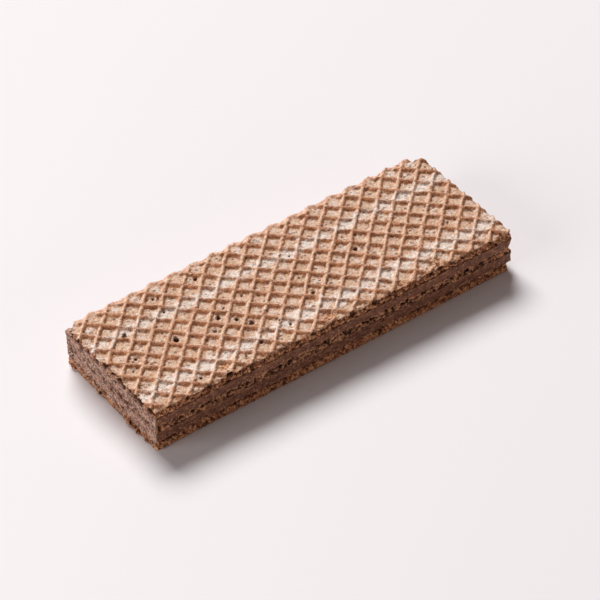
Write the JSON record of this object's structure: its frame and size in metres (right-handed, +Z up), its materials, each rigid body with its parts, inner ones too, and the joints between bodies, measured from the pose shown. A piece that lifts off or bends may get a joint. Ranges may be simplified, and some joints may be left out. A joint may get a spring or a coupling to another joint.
{
  "type": "protein wafer",
  "caption": "Rectangular wafer bar of lattice-pressed baked sheets with cocoa cream layers between them, showing at all its sides.",
  "frame": {"origin": "middle of the underside, at the bottom centre of the bar's box", "axes": "+X along the bar, +Y across it from the long side that faces the viewer to the far one, +Z up through the layers"},
  "size_m": [0.0898, 0.0322, 0.0102],
  "materials": {
    "wafer_crust": "baked wafer, pinkish tan, matt and finely pitted, with floury bands and browned ridges",
    "wafer_core": "cut edge of an open wafer sheet, matt brown and porous",
    "cocoa_cream": "dark cocoa cream, cut smooth, dull with fine specks"
  },
  "bodies": {
    "root": {"wafer_bottom": "wafer_crust", "cream_lower": "cocoa_cream", "wafer_middle": "wafer_core", "cream_upper": "cocoa_cream", "wafer_top": "wafer_crust"}
  },
  "joints": []
}
